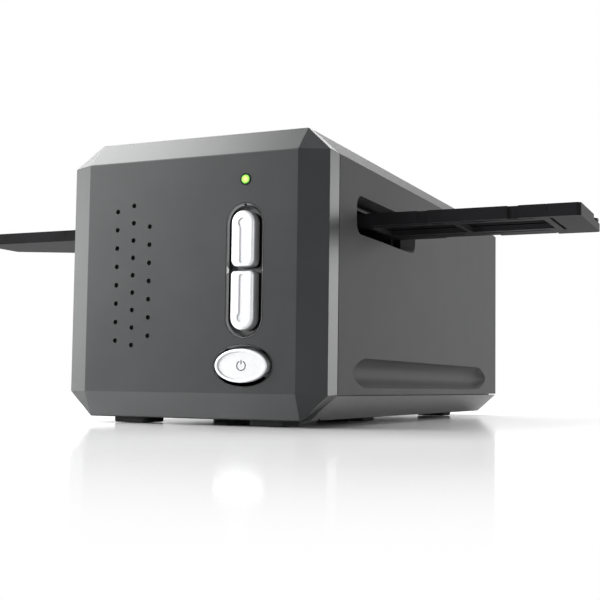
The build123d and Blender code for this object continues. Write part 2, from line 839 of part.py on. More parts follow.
def make_latch_pin():
    x, y = latch_pivot
    return post(x, y, latch_pin_radius, holder_bottom + 0.6, holder_top)


# ---------- film guide ----------
nose_x = notch_offset
lever_y = near_edge - guide_play - 5.0
holder_middle = (holder_bottom + holder_top) / 2
lever_z = (holder_middle - lever_height / 2, holder_middle + lever_height / 2)


def lever_pocket():
    """The pocket in the near rim that the detent lever lies in."""
    return block((lever_pivot_x - 4, nose_x + 5), (rim_y[0] + 2, near_edge), (lever_z[0] - 0.3, cover_z + 1))


def make_film_guide():
    body = block((-guide_half, guide_half), rim_y, (guide_bottom, cover_z))
    tunnel = (near_edge - guide_play, far_edge + guide_play)
    body -= block((-guide_half - 1, guide_half + 1), tunnel, (guide_bottom + guide_floor, cover_z + 1))
    for y in (near_edge + rib_width / 2, far_edge - rib_width / 2):
        rail = block((-guide_half + 3, guide_half - 3), (y - rib_width / 2, y + rib_width / 2),
                     (guide_bottom + guide_floor - 0.5, holder_bottom - rib_play))
        body += chamfer(rail.edges().filter_by(Axis.Y).sort_by(Axis.Z)[-2:], 0.6)
    gate = Pos(0, film_y) * Rectangle(frame_long + 2 * gate_margin, frame_short + 2 * gate_margin)
    body -= extrude(Plane.XY.offset(guide_bottom + guide_floor) * gate, amount=-guide_floor - 1, taper=-12)
    body -= lever_pocket()
    for x in (-1, 1):
        for y in column_rows:
            body -= post(x * column_x, y, board_screw_radius, guide_bottom - 1, cover_z + 1)
    return body - post(lever_pivot_x, lever_y, 1.0, lever_z[0] - 3, cover_z)


def make_film_guide_cover():
    body = block((-guide_half, guide_half), rim_y, (cover_z, cover_z + cover_thick))
    for y in (near_edge + rib_width / 2 + 1, far_edge - rib_width / 2 - 1):
        body += block((-rib_length / 2, rib_length / 2), (y - rib_width / 2, y + rib_width / 2),
                      (holder_top + rib_play, cover_z + 0.5))
    gate = Pos(0, film_y) * Rectangle(frame_long + 4 * gate_margin, frame_short + 4 * gate_margin)
    body -= prism_z(gate, cover_z - 1, cover_z + cover_thick + 1)
    for x in (-1, 1):
        for y in column_rows:
            body -= post(x * column_x, y, board_screw_radius + 0.1, cover_z - 1, cover_z + 3)
    return body


def make_guide_screws():
    group = []
    top = cover_z + cover_thick
    for x in (-1, 1):
        for y in column_rows:
            shank = post(x * column_x, y, board_screw_radius - 0.1, guide_bottom - 6, top + 0.5)
            group.append(shank + post(x * column_x, y, screw_head_radius, top, top + screw_head))
    return Compound(children=group)


def make_detent_lever():
    reach = (lever_y - lever_width / 2, lever_y + lever_width / 2)
    body = prism_z(Pos(lever_pivot_x, lever_y) * Circle(2.6), *lever_z)
    body += block((lever_pivot_x, nose_x + 1.5), reach, lever_z)
    nose_radius = 1.5
    tip = near_edge - lever_play - nose_radius
    nose = Pos(nose_x, tip) * Circle(nose_radius) + Pos(nose_x, (tip + lever_y) / 2) * Rectangle(
        2 * nose_radius, tip - lever_y)
    body += prism_z(nose, *lever_z)
    return body - post(lever_pivot_x, lever_y, 1.0 + run_gap, lever_z[0] - 1, lever_z[1] + 1)


def make_detent_pin():
    return post(lever_pivot_x, lever_y, 1.0, lever_z[0] - 3, cover_z)


def make_detent_spring():
    """A bowed leaf between the rim and the lever."""
    back = rim_y[0] + 2
    crest = lever_y - lever_width / 2 - lever_play
    x0 = lever_pivot_x + 4
    x1 = nose_x + 3
    middle = (x0 + x1) / 2
    leaf = 0.3
    outer = ThreePointArc((x0, back), (middle, crest), (x1, back))
    inner = ThreePointArc((x1 - 1, back), (middle, crest - leaf), (x0 + 1, back))
    edges = [outer, Line((x1, back), (x1 - 1, back)), inner, Line((x0 + 1, back), (x0, back))]
    return prism_z(make_face(edges), *lever_z)


# ---------- lamp ----------
def make_lamp_housing():
    low = cover_z + cover_thick
    outline = Pos(0, film_y) * RectangleRounded(2 * lamp_half, 2 * lamp_depth, 4)
    body = prism_z(outline, low, lamp_top)
    body = fillet(body.faces().sort_by(Axis.Z)[-1].edges(), 1.5)
    flange = Pos(0, film_y) * RectangleRounded(2 * (lamp_half + lamp_flange), 2 * lamp_depth - 6, 3)
    body += prism_z(flange, low, low + lamp_wall)
    inside = (lamp_half - lamp_wall, lamp_depth - lamp_wall)
    space = Pos(0, film_y) * RectangleRounded(2 * inside[0], 2 * inside[1], 2)
    body -= prism_z(space, low - 1, lamp_top - lamp_wall)
    for i in range(fin_count):
        x = lamp_half * 1.6 * (i / (fin_count - 1) - 0.5)
        fin = block((x - 0.8, x + 0.8), (film_y - lamp_depth + 3, film_y + lamp_depth - 3),
                    (lamp_top - 0.5, lamp_top + fin_height))
        body += fin
    for x in (-1, 1):
        body -= post(x * (lamp_half + lamp_flange / 2 + 0.5), film_y, 1.5, low - 1, low + 4)
    return body


def make_light_board():
    top = lamp_top - lamp_wall
    half = (lamp_half - lamp_wall - part_gap, lamp_depth - lamp_wall - part_gap)
    outline = Pos(0, film_y) * RectangleRounded(2 * half[0], 2 * half[1], 1.8)
    board = prism_z(outline, top - board_thick, top)
    for i in range(5):
        for j in range(3):
            x = (i - 2) * half[0] * 0.4
            y = film_y + (j - 1) * half[1] * 0.6
            board += block((x - 1.5, x + 1.5), (y - 1.5, y + 1.5), (top - board_thick - 0.8, top - 1))
    return board


def make_diffuser():
    low = cover_z + cover_thick
    half = (lamp_half - lamp_wall - part_gap, lamp_depth - lamp_wall - part_gap)
    return prism_z(Pos(0, film_y) * RectangleRounded(2 * half[0], 2 * half[1], 1.8), low, low + 2.5)


# ---------- chassis ----------
def make_chassis():
    x = (-chassis_half, chassis_half)
    plate = block(x, (chassis_front, chassis_rear), (chassis_z, chassis_plate_top))
    well_length = chassis_rear - chassis_front - 2 * well_margin
    well = Pos(0, (chassis_front + chassis_rear) / 2) * RectangleRounded(well_width, well_length, 6)
    body = plate - prism_z(well, chassis_z - 1, chassis_plate_top + 1)
    for y in (chassis_front, chassis_rear - chassis_thick):
        wall_outline = Pos(0, (chassis_z + bulkhead_top) / 2) * RectangleRounded(
            2 * chassis_half, bulkhead_top - chassis_z, 5)
        body += prism_y(wall_outline, y, y + chassis_thick)
        body += block((-chassis_half, chassis_half), (y, y + chassis_thick), (chassis_z, chassis_z + 8))
    for x, y in leg_places():
        body += post(x, y, leg_radius, floor_z + 3, chassis_z + 1)
        body -= post(x, y, board_screw_radius, floor_z, floor_z + 14)
    for side in (-1, 1):
        for y in column_rows:
            body += post(side * column_x, y, column_radius, chassis_z, guide_bottom)
            body -= post(side * column_x, y, board_screw_radius, guide_bottom - 7, guide_bottom + 1)
        body -= rod_along_y(side * rod_x, rod_z, rod_radius + 0.05, chassis_front - 1, chassis_rear + 1)
    body -= rod_along_y(rod_x, screw_z, bearing_radius + 0.05, chassis_front - 1, chassis_front + 5)
    body -= rod_along_y(rod_x, screw_z, screw_radius + 1, chassis_rear - 5, chassis_rear + 1)
    return body


def make_chassis_screws():
    group = []
    for x, y in leg_places():
        group.append(post(x, y, board_screw_radius - 0.1, foot_height + 1.6, floor_z + 12))
    return Compound(children=group)


def make_guide_rod(side):
    bar = rod_along_y(side * rod_x, rod_z, rod_radius, chassis_front, chassis_rear)
    ends = [e for e in bar.edges() if e.geom_type == GeomType.CIRCLE]
    return chamfer(ends, 0.4)


def make_screw_bearing():
    ring = rod_along_y(rod_x, screw_z, bearing_radius, chassis_front, chassis_front + chassis_thick)
    ring += rod_along_y(rod_x, screw_z, bearing_radius + 1.5, chassis_front + chassis_thick,
                        chassis_front + chassis_thick + 1)
    bore = screw_radius - 1 + run_gap
    return ring - rod_along_y(rod_x, screw_z, bore, chassis_front - 1, chassis_front + 6)


def make_lead_screw():
    start = chassis_front + chassis_thick + 1 + run_gap
    body = rod_along_y(rod_x, screw_z, screw_radius - 1, chassis_front, chassis_rear - 0.3)
    return body + rod_along_y(rod_x, screw_z, screw_radius, start, chassis_rear - 0.3)


def make_stepper_motor():
    body = rod_along_y(rod_x, screw_z, motor_radius, chassis_rear, chassis_rear + motor_length)
    body = fillet(body.faces().sort_by(Axis.Y)[-1].edges(), 1.5)
    ear = Pos(rod_x, screw_z) * Rot(0, 0, 45) * RectangleRounded(2 * motor_ear, 8, 3.9)
    body += prism_y(ear, chassis_rear, chassis_rear + 1.2)
    back = chassis_rear + motor_length
    return body + rod_along_y(rod_x, screw_z, 4, back - 1, back + 1.5)


# ---------- carriage ----------
carriage_y = (film_y - carriage_front, film_y - carriage_front + carriage_length)
carriage_floor_top = carriage_floor_z + carriage_wall
lug_rows = (film_y - 4, film_y + 96)
lens_y = (film_y + lens_start, film_y + lens_start + lens_length)
sensor_y = film_y + sensor_gap


def mirror_cheek():
    """The wedge that carries one end of the mirror, in YZ."""
    reach = mirror_long / 2 / 2 ** 0.5
    drop = mirror_thick * 2 ** 0.5
    top = (film_y - reach, optic_z + reach - drop)
    tip = (film_y + optic_z - drop - carriage_floor_top, carriage_floor_top)
    low = carriage_floor_z + 1
    return make_face(Polyline((top[0], low), top, tip, (tip[0], low), close=True))


def make_carriage():
    x = (-carriage_half, carriage_half)
    inner = (-carriage_half + carriage_wall, carriage_half - carriage_wall)
    body = block(x, carriage_y, (carriage_floor_z, carriage_top_z))
    body -= block(inner, (carriage_y[0] + carriage_wall, carriage_y[1] - carriage_wall),
                  (carriage_floor_top, carriage_top_z + 1))
    low_side = (film_y + 30, sensor_y - 6)
    body -= block((x[0] - 1, x[1] + 1), low_side, (optic_z + 2, carriage_top_z + 1))
    for side in (-1, 1):
        ends = sorted((side * (mirror_half - 3), side * (carriage_half - 1)))
        body += prism_x(mirror_cheek(), *ends)
    cradle = block((-lens_radius + 2, lens_radius - 2), (lens_y[0] + 3, lens_y[1] - 3),
                   (carriage_floor_z + 1, optic_z - 2))
    body += cradle - rod_along_y(0, optic_z, lens_radius, lens_y[0] - 1, lens_y[1] + 1)
    stop = (sensor_y + board_thick, sensor_y + board_thick + carriage_wall)
    frame = block((inner[0] - 1, inner[1] + 1), stop, (carriage_floor_z + 1, carriage_top_z))
    view = (-sensor_half + 4, sensor_half - 4)
    frame -= block(view, (stop[0] - 1, stop[1] + 1), (optic_z - 5, optic_z + 5))
    body += frame
    for side in (-1, 1):
        for y in lug_rows:
            ends = sorted((side * (carriage_half - 2), side * rod_x))
            body += block(ends, (y, y + lug_length), (rod_z, carriage_floor_top))
            body += rod_along_y(side * rod_x, rod_z, lug_radius, y, y + lug_length)
            body -= rod_along_y(side * rod_x, rod_z, rod_radius + run_gap, y - 1, y + lug_length + 1)
    return body


def make_mirror():
    face = Pos(0, film_y, optic_z) * Rot(-45, 0, 0)
    behind = (Align.CENTER, Align.CENTER, Align.MAX)
    return face * Box(2 * mirror_half, mirror_long, mirror_thick, align=behind)


def make_lens_barrel():
    y0, y1 = lens_y
    body = rod_along_y(0, optic_z, lens_radius, y0, y1)
    body -= rod_along_y(0, optic_z, lens_radius + 1, y0 + 6, y0 + 8) - rod_along_y(
        0, optic_z, lens_radius - 0.8, y0, y1)
    body -= rod_along_y(0, optic_z, glass_radius, y0 - 1, y0 + 1 + glass_thick)
    body -= rod_along_y(0, optic_z, glass_radius, y1 - 1 - glass_thick, y1 + 1)
    body -= rod_along_y(0, optic_z, glass_radius - 1.5, y0 - 1, y1 + 1)
    return body


def make_lens_glass():
    group = []
    for y in (lens_y[0] + 1, lens_y[1] - 1 - glass_thick):
        disc = rod_along_y(0, optic_z, glass_radius, y, y + glass_thick)
        group.append(fillet(disc.edges().filter_by(GeomType.CIRCLE), 0.8))
    return Compound(children=group)


def make_lens_clamp():
    middle = (lens_y[0] + lens_y[1]) / 2
    y = (middle - clamp_width / 2, middle + clamp_width / 2)
    strap = rod_along_y(0, optic_z, lens_radius + clamp_thick, *y)
    strap -= rod_along_y(0, optic_z, lens_radius + clamp_play, y[0] - 1, y[1] + 1)
    strap &= block((-30, 30), y, (optic_z, optic_z + 30))
    for side in (-1, 1):
        ends = sorted((side * (lens_radius + clamp_play), side * (lens_radius + clamp_thick)))
        strap += block(ends, y, (carriage_floor_top, optic_z))
        foot = sorted((side * lens_radius, side * (lens_radius + 8)))
        strap += block(foot, y, (carriage_floor_top, carriage_floor_top + clamp_thick))
    return strap


def make_sensor_board():
    return block((-sensor_board_half, sensor_board_half), (sensor_y, sensor_y + board_thick),
                 (carriage_floor_top, carriage_top_z - 1))


def make_image_sensor():
    depth = (sensor_y - sensor_thick, sensor_y)
    body = block((-sensor_half, sensor_half), depth, (optic_z - 5, optic_z + 5))
    return body - block((-sensor_half + 2, sensor_half - 2), (sensor_y - 5, sensor_y - sensor_thick + 0.6),
                        (optic_z - 2, optic_z + 2))


def make_lead_nut():
    y0 = film_y + nut_start
    z = (screw_z - nut_half, screw_z + nut_half)
    nut = block((carriage_half, rod_x + nut_half), (y0, y0 + nut_length), z)
    nut = chamfer(nut.edges().filter_by(Axis.Y).sort_by(Axis.X)[-2:], 2)
    return nut - rod_along_y(rod_x, screw_z, screw_radius + run_gap, y0 - 1, y0 + nut_length + 1)


# ---------- electronics ----------
def make_main_board():
    board = block((-main_board_half, main_board_half), (main_board_front, main_board_rear),
                  (main_board_z, main_board_z + board_thick))
    for x, y in board_standoffs():
        board -= post(x, y, board_screw_radius + 0.1, main_board_z - 1, main_board_z + 3)
    return board


def make_board_parts():
    """Chips and tall capacitors on the main board."""
    top = main_board_z + board_thick
    group = []
    for x, ahead, half, height in chips:
        y = main_board_rear - ahead
        group.append(block((x - half, x + half), (y - half, y + half), (top, top + height)))
    for x, ahead in capacitors:
        group.append(post(x, main_board_rear - ahead, capacitor_radius, top, top + capacitor_height))
    return Compound(children=group)


def make_board_screws():
    group = []
    top = main_board_z + board_thick
    for x, y in board_standoffs():
        shank = post(x, y, board_screw_radius - 0.1, floor_z + 2, top + 0.5)
        group.append(shank + post(x, y, screw_head_radius, top, top + screw_head))
    return Compound(children=group)


def make_usb_port():
    low = main_board_z + board_thick
    middle = low + usb_height / 2
    gap = part_gap / 2
    body = block((usb_x - usb_width / 2 + gap, usb_x + usb_width / 2 - gap), (rear_y - usb_depth, rear_y),
                 (low, low + usb_height - gap))
    mouth = Pos(usb_x, middle) * Rectangle(usb_opening_width, usb_opening_height)
    body -= prism_y(mouth, rear_y - usb_depth + 5, rear_y + 1)
    depth = (rear_y - usb_depth + 4, rear_y - 3.2)
    tab = block((usb_x - 2.8, usb_x + 2.8), depth, (middle - 1.6, middle + 1.6))
    return body + tab


def make_power_jack():
    low = main_board_z + board_thick
    middle = low + jack_height / 2
    front = rear_y - panel_thick - part_gap
    body = block((jack_x - jack_width / 2, jack_x + jack_width / 2), (rear_y - jack_depth, front),
                 (low, low + jack_height))
    body += rod_along_y(jack_x, middle, jack_width / 2 - part_gap, front - 1, rear_y)
    body -= rod_along_y(jack_x, middle, jack_bore, rear_y - jack_depth + 3, rear_y + 1)
    return body + rod_along_y(jack_x, middle, jack_pin, rear_y - jack_depth + 2, rear_y - 1.5)


# ---------- write ----------
makers = {
    "front_bezel": make_front_bezel,
    "upper_housing": make_upper_housing,
    "base_tray": make_base_tray,
    "rear_panel": make_rear_panel,
    "case_screws": make_case_screws,
    "scan_button_pocket": make_scan_pocket,
    "power_button_pocket": make_power_pocket,
    "scan_button_upper": lambda: make_scan_button(True),
    "scan_button_lower": lambda: make_scan_button(False),
    "power_button": make_power_button,
    "status_light": make_status_light,
    "button_board": make_button_board,
    "push_switches": make_push_switches,
    "button_board_screws": make_button_board_screws,
    "slot_frame_right": lambda: make_slot_frame(1),
    "slot_frame_left": lambda: make_slot_frame(-1),
    "film_guide": make_film_guide,
    "film_guide_cover": make_film_guide_cover,
    "guide_screws": make_guide_screws,
    "detent_lever": make_detent_lever,
    "detent_pin": make_detent_pin,
    "detent_spring": make_detent_spring,
    "holder_base": make_holder_base,
    "holder_lid": make_holder_lid,
    "holder_hinge_pin": make_holder_hinge_pin,
    "holder_latch": make_holder_latch,
    "latch_pin": make_latch_pin,
    "lamp_housing": make_lamp_housing,
    "light_board": make_light_board,
    "diffuser": make_diffuser,
    "chassis": make_chassis,
    "chassis_screws": make_chassis_screws,
    "guide_rod_right": lambda: make_guide_rod(1),
    "guide_rod_left": lambda: make_guide_rod(-1),
    "lead_screw": make_lead_screw,
    "screw_bearing": make_screw_bearing,
    "stepper_motor": make_stepper_motor,
    "carriage": make_carriage,
    "mirror": make_mirror,
    "lens_barrel": make_lens_barrel,
    "lens_glass": make_lens_glass,
    "lens_clamp": make_lens_clamp,
    "sensor_board": make_sensor_board,
    "image_sensor": make_image_sensor,
    "lead_nut": make_lead_nut,
    "main_board": make_main_board,
    "board_parts": make_board_parts,
    "board_screws": make_board_screws,
    "usb_port": make_usb_port,
    "power_jack": make_power_jack,
}

os.makedirs("parts", exist_ok=True)
for name, maker in makers.items():
    print(name, flush=True)
    export_step(maker(), f"parts/{name}.step")
for number, place in enumerate(foot_places(), start=1):
    export_step(make_foot(*place), f"parts/rubber_foot_{number}.step")
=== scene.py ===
import json
import math

import bmesh
import bpy
from mathutils import Matrix, Vector

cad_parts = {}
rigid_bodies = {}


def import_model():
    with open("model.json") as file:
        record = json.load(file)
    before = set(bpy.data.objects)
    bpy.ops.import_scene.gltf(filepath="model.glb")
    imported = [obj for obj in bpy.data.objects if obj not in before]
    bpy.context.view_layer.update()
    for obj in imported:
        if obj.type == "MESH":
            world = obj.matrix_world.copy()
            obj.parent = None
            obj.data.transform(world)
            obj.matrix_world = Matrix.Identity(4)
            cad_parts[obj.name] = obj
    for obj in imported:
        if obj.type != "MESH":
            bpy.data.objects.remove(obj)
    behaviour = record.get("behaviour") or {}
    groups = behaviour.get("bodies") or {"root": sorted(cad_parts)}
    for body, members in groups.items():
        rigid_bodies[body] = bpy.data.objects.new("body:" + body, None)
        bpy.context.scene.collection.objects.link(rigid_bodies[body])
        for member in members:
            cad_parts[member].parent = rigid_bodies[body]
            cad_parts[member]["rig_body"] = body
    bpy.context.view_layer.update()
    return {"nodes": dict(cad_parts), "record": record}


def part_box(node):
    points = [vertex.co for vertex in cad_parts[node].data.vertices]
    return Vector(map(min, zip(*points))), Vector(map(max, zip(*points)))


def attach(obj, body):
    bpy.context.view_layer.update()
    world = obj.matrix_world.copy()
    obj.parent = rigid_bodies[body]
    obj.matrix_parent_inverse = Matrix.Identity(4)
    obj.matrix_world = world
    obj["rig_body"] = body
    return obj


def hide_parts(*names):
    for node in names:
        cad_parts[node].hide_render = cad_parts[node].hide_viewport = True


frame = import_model()

# Real sizes in metres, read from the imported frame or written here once.
MM = 0.001
FRONT_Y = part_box("front_bezel")[0].y
BUTTON_FACE_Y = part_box("power_button")[0].y
LIGHT_LOW, LIGHT_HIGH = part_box("status_light")
LIGHT_CENTRE = (LIGHT_LOW + LIGHT_HIGH) / 2
LIGHT_RADIUS = 1.8 * MM
POWER_LOW, POWER_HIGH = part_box("power_button")
POWER_CENTRE = (POWER_LOW + POWER_HIGH) / 2
POWER_DISH_DEPTH = 0.8 * MM
# Edges that turn by more than this stay sharp or get a bevel.
SHARP_DEG = 28
WHITE = (1, 1, 1, 1)


# ---------- materials ----------
def linear(hex_colour):
    """An sRGB hex value as the linear colour that a shader takes."""
    parts = [int(hex_colour[i:i + 2], 16) / 255 for i in (1, 3, 5)]
    return [p / 12.92 if p <= 0.04045 else ((p + 0.055) / 1.055) ** 2.4 for p in parts] + [1.0]


def add(tree, kind, inputs=None, **settings):
    """Adds one node with its settings; an input takes a value or another node's output."""
    node = tree.nodes.new(kind)
    for name, value in settings.items():
        setattr(node, name, value)
    for name, value in (inputs or {}).items():
        if isinstance(value, bpy.types.NodeSocket):
            tree.links.new(value, node.inputs[name])
        else:
            node.inputs[name].default_value = value
    return node


def start_material(name):
    material = bpy.data.materials.new(name)
    material.use_nodes = True
    tree = material.node_tree
    shader = tree.nodes["Principled BSDF"]
    place = add(tree, "ShaderNodeTexCoord").outputs["Object"]
    return material, tree, shader, place


def mottle(tree, place, size_mm, low, high, detail=3.0):
    """A soft blotchy colour between two hex values, about size_mm across."""
    noise = add(tree, "ShaderNodeTexNoise",
                {"Vector": place, "Scale": 1 / (size_mm * MM), "Detail": detail})
    ramp = add(tree, "ShaderNodeValToRGB", {"Fac": noise.outputs["Fac"]})
    ramp.color_ramp.elements[0].position = 0.3
    ramp.color_ramp.elements[1].position = 0.7
    ramp.color_ramp.elements[0].color = linear(low)
    ramp.color_ramp.elements[1].color = linear(high)
    return ramp.outputs["Color"]


def grain(tree, place, size_mm, depth_mm, strength=1.0):
    """A fine pimpled relief with pimples about size_mm across."""
    noise = add(tree, "ShaderNodeTexNoise",
                {"Vector": place, "Scale": 1 / (size_mm * MM), "Detail": 2.0, "Roughness": 0.6})
    return add(tree, "ShaderNodeBump", {"Height": noise.outputs["Fac"], "Distance": depth_mm * MM,
                                        "Strength": strength}).outputs["Normal"]


def moulded_abs(name, low, high, roughness, grain_mm=0.5, depth_mm=0.012,
                metallic=0.0, coat=0.0, gloss=0.5):
    """ABS from a spark-eroded mould: an even dull sheen broken by a fine grain."""
    material, tree, shader, place = start_material(name)
    tree.links.new(mottle(tree, place, 18, low, high), shader.inputs["Base Color"])
    tree.links.new(grain(tree, place, grain_mm, depth_mm), shader.inputs["Normal"])
    shader.inputs["Roughness"].default_value = roughness
    shader.inputs["Metallic"].default_value = metallic
    shader.inputs["Coat Weight"].default_value = coat
    shader.inputs["Specular IOR Level"].default_value = gloss
    return material


def lacquered_silver():
    """ABS sprayed silver: metal flakes under a clear coat, so highlights run soft and bright."""
    material, tree, shader, place = start_material("silver_lacquer")
    flakes = add(tree, "ShaderNodeTexVoronoi", {"Vector": place, "Scale": 1 / (0.35 * MM)})
    ramp = add(tree, "ShaderNodeValToRGB", {"Fac": flakes.outputs["Distance"]})
    ramp.color_ramp.elements[0].color = linear("#b3b4b6")
    ramp.color_ramp.elements[1].color = linear("#cccdcf")
    tree.links.new(ramp.outputs["Color"], shader.inputs["Base Color"])
    tree.links.new(grain(tree, place, 0.4, 0.004), shader.inputs["Normal"])
    shader.inputs["Metallic"].default_value = 0.55
    shader.inputs["Roughness"].default_value = 0.32
    shader.inputs["Coat Weight"].default_value = 0.3
    return material


def foot_rubber():
    """Moulded rubber: black, dull, with a dusty bloom."""
    material, tree, shader, place = start_material("moulded_rubber")
    tree.links.new(mottle(tree, place, 3, "#141414", "#242424"), shader.inputs["Base Color"])
    tree.links.new(grain(tree, place, 0.6, 0.05), shader.inputs["Normal"])
    shader.inputs["Roughness"].default_value = 0.85
    return material


def brushed_steel(name="brushed_steel", low="#8a8c8f", high="#b4b6b9"):
    """Ground steel bar and sheet: fine lines along the part, streaked highlights."""
    material, tree, shader, place = start_material(name)
    stretch = add(tree, "ShaderNodeMapping", {"Vector": place, "Scale": (1, 0.05, 1)})
    lines = mottle(tree, stretch.outputs["Vector"], 0.6, low, high)
    tree.links.new(lines, shader.inputs["Base Color"])
    shader.inputs["Metallic"].default_value = 1.0
    shader.inputs["Roughness"].default_value = 0.3
    return material


def circuit_board(name, low, high):
    """Glass epoxy under solder mask: glossy, with copper tracks showing as paler lines."""
    material, tree, shader, place = start_material(name)
    tracks = add(tree, "ShaderNodeTexBrick",
                 {"Vector": place, "Scale": 1 / (6 * MM), "Mortar Size": 0.04,
                  "Color1": linear(low), "Color2": linear(low), "Mortar": linear(high)})
    tree.links.new(tracks.outputs["Color"], shader.inputs["Base Color"])
    shader.inputs["Roughness"].default_value = 0.3
    return material


def milky_acrylic():
    """Opal acrylic sheet: white, smooth, faintly glowing through."""
    material, tree, shader, place = start_material("opal_acrylic")
    tree.links.new(mottle(tree, place, 12, "#e6e5e0", "#f2f1ee"), shader.inputs["Base Color"])
    shader.inputs["Roughness"].default_value = 0.25
    shader.inputs["Emission Color"].default_value = linear("#ffffff")
    shader.inputs["Emission Strength"].default_value = 0.9
    return material


def lit_green_lens():
    """A clear acrylic light pipe, lit: brightest in the middle, green at the rim."""
    material, tree, shader, place = start_material("lit_green_acrylic")
    centre = add(tree, "ShaderNodeMapping", {"Vector": place, "Location": -LIGHT_CENTRE})
    flat = add(tree, "ShaderNodeVectorMath", {0: centre.outputs["Vector"], 1: (1, 0, 1)},
               operation="MULTIPLY")
    reach = add(tree, "ShaderNodeVectorMath", {0: flat.outputs["Vector"]}, operation="LENGTH")
    spread = add(tree, "ShaderNodeMapRange", {"Value": reach.outputs["Value"], "From Min": 0.0,
                                              "From Max": LIGHT_RADIUS})
    ramp = add(tree, "ShaderNodeValToRGB", {"Fac": spread.outputs["Result"]})
    ramp.color_ramp.elements[0].color = linear("#d8ff7a")
    ramp.color_ramp.elements[1].color = linear("#3f9a12")
    tree.links.new(ramp.outputs["Color"], shader.inputs["Base Color"])
    tree.links.new(ramp.outputs["Color"], shader.inputs["Emission Color"])
    shader.inputs["Emission Strength"].default_value = 0.9
    shader.inputs["Roughness"].default_value = 0.2
    return material


def coated_glass():
    """Coated optical glass: nearly clear with a faint violet bloom."""
    material, tree, shader, place = start_material("coated_glass")
    tree.links.new(mottle(tree, place, 8, "#cfd8f2", "#dcd0f0"), shader.inputs["Base Color"])
    shader.inputs["Roughness"].default_value = 0.03
    shader.inputs["Transmission Weight"].default_value = 0.8
    return material


def silvered_mirror():
    """Front-silvered glass: a clean bright reflection with a trace of haze."""
    material, tree, shader, place = start_material("silvered_mirror")
    tree.links.new(mottle(tree, place, 15, "#e4e6ea", "#eef0f4"), shader.inputs["Base Color"])
    shader.inputs["Metallic"].default_value = 1.0
    shader.inputs["Roughness"].default_value = 0.04
    return material


MATERIALS = {
    # The bezel is sprayed in a dark grey with a little metal in it, over a fine grain.
    "bezel_plastic": moulded_abs("bezel_lacquered_abs", "#262728", "#2b2c2d", 0.34, 0.45, 0.008,
                                 metallic=0.15, gloss=0.32),
    # The housing and the tray are bare, coarser grained plastic. The tray is a shade lighter as
    # painted reflection: its colour stands for the bright table mirrored in its down-turned side
    # bevel.
    "casing_plastic": moulded_abs("casing_textured_abs", "#2c2c2d", "#303031", 0.55, 0.55, 0.014,
                                  gloss=0.14),
    "tray_plastic": moulded_abs("tray_abs_lightened_for_painted_reflection", "#505051", "#565657", 0.42, 0.55, 0.014,
                                gloss=0.3),
    # The frames inside the slot and the small inner mouldings are plain black.
    "black_plastic": moulded_abs("black_satin_abs", "#0c0c0d", "#131314", 0.4, 0.6, 0.008,
                                 gloss=0.1),
    "silver_plastic": lacquered_silver(),
    "light_lens": lit_green_lens(),
    "foot_rubber": foot_rubber(),
    "board_green": circuit_board("green_circuit_board", "#0f4a26", "#2d7a45"),
    "light_board": circuit_board("white_circuit_board", "#d4d4cf", "#bdbdb5"),
    "component_black": moulded_abs("black_epoxy", "#121213", "#1b1b1d", 0.4, 0.3, 0.006),
    "white_acrylic": milky_acrylic(),
    "steel": brushed_steel(),
    "screw_steel": brushed_steel("zinc_plated_steel", "#76787b", "#97999c"),
    "bearing_brass": brushed_steel("sintered_brass", "#a8803c", "#bd9550"),
    "lever_plastic": moulded_abs("natural_acetal", "#d9d6cc", "#e3e0d7", 0.35, 0.8, 0.004),
    "chassis_metal": brushed_steel("cast_aluminium", "#8f9093", "#a2a3a6"),
    "mirror_glass": silvered_mirror(),
    "optical_glass": coated_glass(),
}
SLOT_OF = {part["node"]: part["material_slot"] for part in frame["record"]["subparts"]}
# The button pockets come from a polished mould, so their rims catch the light.
POLISHED_BLACK = moulded_abs("polished_black_abs", "#101011", "#161617", 0.16, 0.6, 0.002,
                             coat=0.6, gloss=0.8)
# The film holder is moulded in a duller black, so that it throws no light at the film.
DULL_BLACK = moulded_abs("dull_black_abs", "#19191a", "#202022", 0.5, 0.6, 0.01, gloss=0.03)
LOOK_OF = {"scan_button_pocket": POLISHED_BLACK, "power_button_pocket": POLISHED_BLACK,
           "holder_base": DULL_BLACK, "holder_lid": DULL_BLACK}


def look_of(node):
    """The material of a node: its slot's, or its own where it has one."""
    return LOOK_OF.get(node, MATERIALS[SLOT_OF[node]])


# ---------- pieces made from the frame ----------
def dress(obj, material):
    """Gives an object one material, on the object and not on its mesh."""
    if not obj.data.materials:
        obj.data.materials.append(None)
    for place in obj.material_slots:
        place.link = "OBJECT"
        place.material = material


def finish_edges(obj, radius_mm):
    """Soft moulded edges and even shading; a radius of nought leaves the edges as they are."""
    if radius_mm:
        bevel = obj.modifiers.new("edges", "BEVEL")
        bevel.width = radius_mm * MM
        bevel.segments = 2
        bevel.limit_method = "ANGLE"
        bevel.angle_limit = math.radians(SHARP_DEG)
        bevel.harden_normals = True
        bevel.use_clamp_overlap = True
    weighted = obj.modifiers.new("shading", "WEIGHTED_NORMAL")
    weighted.keep_sharp = True


